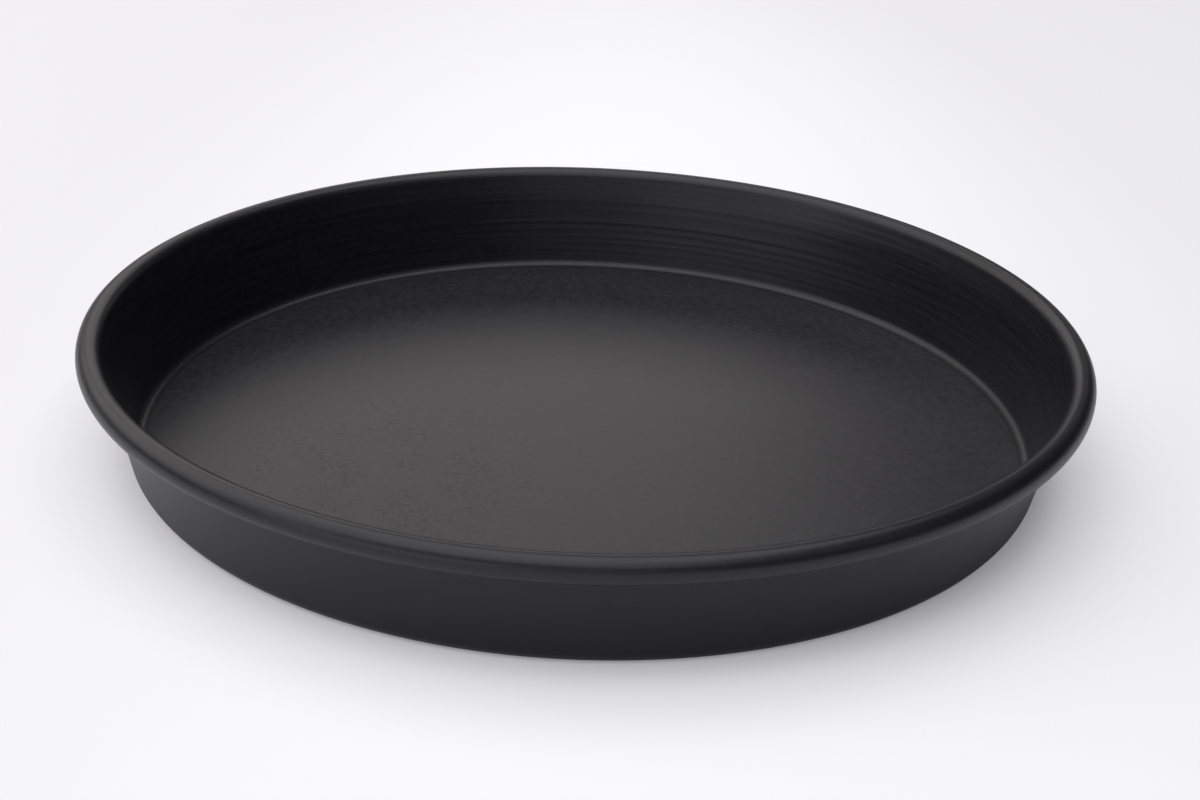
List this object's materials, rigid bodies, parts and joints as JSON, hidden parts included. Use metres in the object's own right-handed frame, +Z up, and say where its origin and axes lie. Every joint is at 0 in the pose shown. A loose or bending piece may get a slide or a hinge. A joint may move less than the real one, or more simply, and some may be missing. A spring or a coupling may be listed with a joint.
{
  "type": "pizza pan",
  "caption": "Round deep-dish pizza pan in dark hard-anodised aluminium, with a flat floor, a tapered side wall and an outward rolled rim.",
  "frame": {"origin": "centre of the base, on the surface that the pan stands on", "axes": "+Z up along the pan's axis of revolution; X and Y are any two directions across it"},
  "size_m": [0.3206, 0.3206, 0.0387],
  "materials": {
    "anodised_sheet": "hard-anodised, dark charcoal, satin, with fine spinning marks on the wall"
  },
  "bodies": {
    "root": {"pan_floor": "anodised_sheet", "base_corner": "anodised_sheet", "side_wall": "anodised_sheet", "rolled_rim": "anodised_sheet"}
  },
  "joints": []
}
